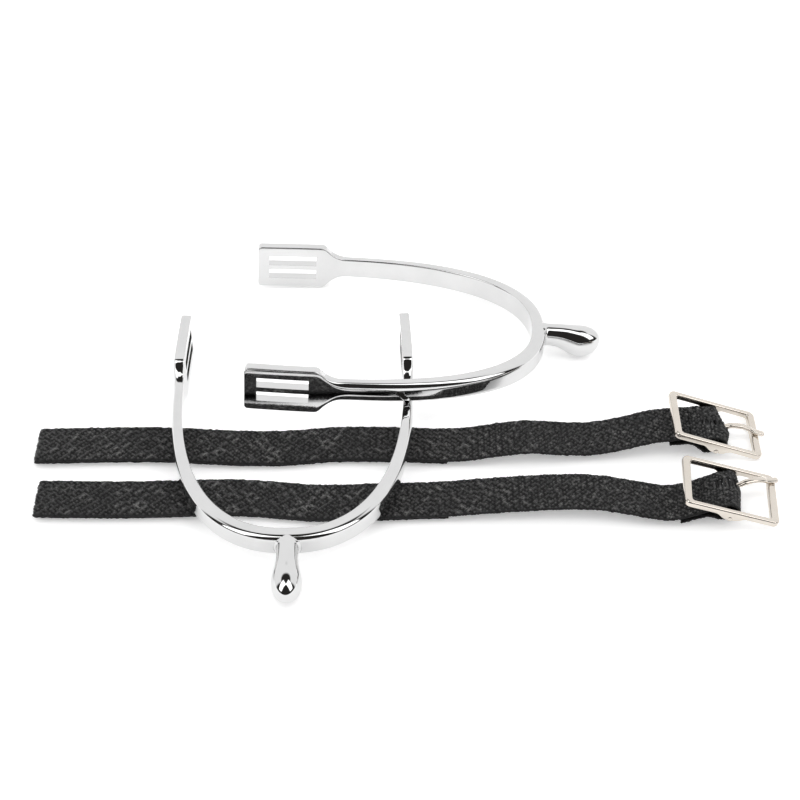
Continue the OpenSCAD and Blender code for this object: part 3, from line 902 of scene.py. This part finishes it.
build_spur("lower", LOWER_TURN, 0.0, 0.0)
build_spur("upper", UPPER_TURN, UPPER_LEAN, UPPER_NOSE)
first_strap = build_strap("first", FIRST_WAVE, FIRST_DRIFT, 0.0, FIRST_SWELL, 0.3, 3, 0.0, 1.35)
second_strap = build_strap("second", SECOND_WAVE, SECOND_DRIFT, SECOND_TURN, SECOND_SWELL, 3.6, 8,
                           2.6, 2.1)
build_stitches("first", first_strap)
build_stitches("second", second_strap)
build_buckle("first", 0.0, FIRST_TILT, 0.0, 0.0)
build_buckle("second", SECOND_TURN, SECOND_TILT, SECOND_EYE_Y, SECOND_SKEW)


# ---------------------------------------------------------------- stage
def build_floor():
    s = Shader("floor_paper")
    place = s.coordinates()
    tone = s.span(s.noise(place, 6, 3), 0.3, 0.7)
    s.set(Base_Color=s.mix(tone, (0.93, 0.93, 0.93, 1), (0.95, 0.95, 0.95, 1)),
          Roughness=0.9, Specular_IOR_Level=0.1,
          Emission_Color=(1, 1, 1, 1), Emission_Strength=FLOOR_GLOW)
    s.set(Normal=s.bump(s.noise(place, 1500, 2), 0.02 * MM, 0.2))
    mesh = bpy.data.meshes.new("floor")
    size = FLOOR_HALF
    mesh.from_pydata([(-size, -size, 0), (size, -size, 0), (size, size, 0), (-size, size, 0)], [],
                     [(0, 1, 2, 3)])
    mesh.materials.append(s.material)
    floor = bpy.data.objects.new("floor", mesh)
    bpy.context.scene.collection.objects.link(floor)
    floor.location.z = -0.0002


def build_world():
    """A studio round the set: white sweep behind, dark room in front, two softboxes by the camera."""
    world = bpy.data.worlds.new("studio")
    bpy.context.scene.world = world
    world.use_nodes = True
    tree = world.node_tree
    background = tree.nodes["Background"]
    s = Shader.__new__(Shader)
    s.tree = tree
    direction = s.coordinates("Generated")
    split = s.add("ShaderNodeSeparateXYZ")
    s.feed(split, 0, direction)
    x, y, z = split.outputs

    def box(azimuth, elevation, half_az, half_el):
        """1 inside a soft-edged window in the given direction, azimuth from the camera's side."""
        a, e = math.radians(azimuth), math.radians(elevation)
        toward = Vector((math.sin(a) * math.cos(e), -math.cos(a) * math.cos(e), math.sin(e)))
        side = Vector((math.cos(a), math.sin(a), 0))
        up = side.cross(toward) * -1
        value = 1.0
        depth = s.add("ShaderNodeVectorMath", operation="DOT_PRODUCT")
        s.feed(depth, 0, direction)
        s.feed(depth, 1, toward)
        for axis, half in ((side, half_az), (up, half_el)):
            across = s.add("ShaderNodeVectorMath", operation="DOT_PRODUCT")
            s.feed(across, 0, direction)
            s.feed(across, 1, axis)
            ratio = s.math("DIVIDE", across.outputs["Value"], depth.outputs["Value"])
            size = math.tan(math.radians(half))
            inside = s.span(s.math("ABSOLUTE", ratio), size * 1.05, size * 0.95)
            value = s.math("MULTIPLY", inside, value)
        front = s.span(depth.outputs["Value"], 0.0, 0.05)
        return s.math("MULTIPLY", value, front)

    # white wall behind the set, up to its top edge
    rear = s.span(y, -0.12, 0.02)
    under_top = s.span(z, 0.90, 0.84)
    wall = s.math("MULTIPLY", rear, under_top)
    level = s.math("MULTIPLY", wall, WALL_LIGHT)
    for azimuth in SOFTBOX_AZIMUTHS:
        softbox = box(azimuth, SOFTBOX_ELEVATION, *SOFTBOX_HALF_SIZE)
        level = s.math("ADD", level, s.math("MULTIPLY", softbox, SOFTBOX_LIGHT))
    level = s.math("ADD", level, ROOM_LIGHT)
    below = s.span(z, 0.0, -0.02)
    level = s.math("ADD", level, s.math("MULTIPLY", below, BELOW_LIGHT))
    tint = s.mix(s.span(level, 0.0, 0.5), WARM_SHADE, WHITE)
    # seen straight on, the room is as pale as the floor
    seen = s.add("ShaderNodeLightPath").outputs["Is Camera Ray"]
    s.feed(background, "Color", s.mix(seen, tint, WHITE))
    strength = s.math("MULTIPLY", level, s.math("SUBTRACT", 1.0, seen))
    strength = s.math("ADD", strength, seen)
    s.feed(background, "Strength", strength)


def build_lights():
    """A large soft key overhead that fills the floor, kept out of the chrome's reflections."""
    data = bpy.data.lights.new("overhead", "AREA")
    data.shape = "RECTANGLE"
    data.size, data.size_y = 1.6, 1.2
    data.energy = 2.5
    lamp = bpy.data.objects.new("overhead", data)
    bpy.context.scene.collection.objects.link(lamp)
    lamp.location = (0.0, 0.1, 1.3)
    lamp.visible_glossy = False


def build_camera():
    data = bpy.data.cameras.new("camera")
    data.lens = CAMERA_LENS
    data.sensor_width = 36.0
    camera = bpy.data.objects.new("camera", data)
    bpy.context.scene.collection.objects.link(camera)
    camera.location = CAMERA_AT
    look = Vector(CAMERA_LOOKS_AT) - Vector(CAMERA_AT)
    camera.rotation_euler = look.to_track_quat("-Z", "Y").to_euler()
    data.clip_start, data.clip_end = 0.01, 50.0
    bpy.context.scene.camera = camera


build_floor()
build_world()
build_lights()
build_camera()
bpy.context.scene.view_settings.view_transform = "Standard"
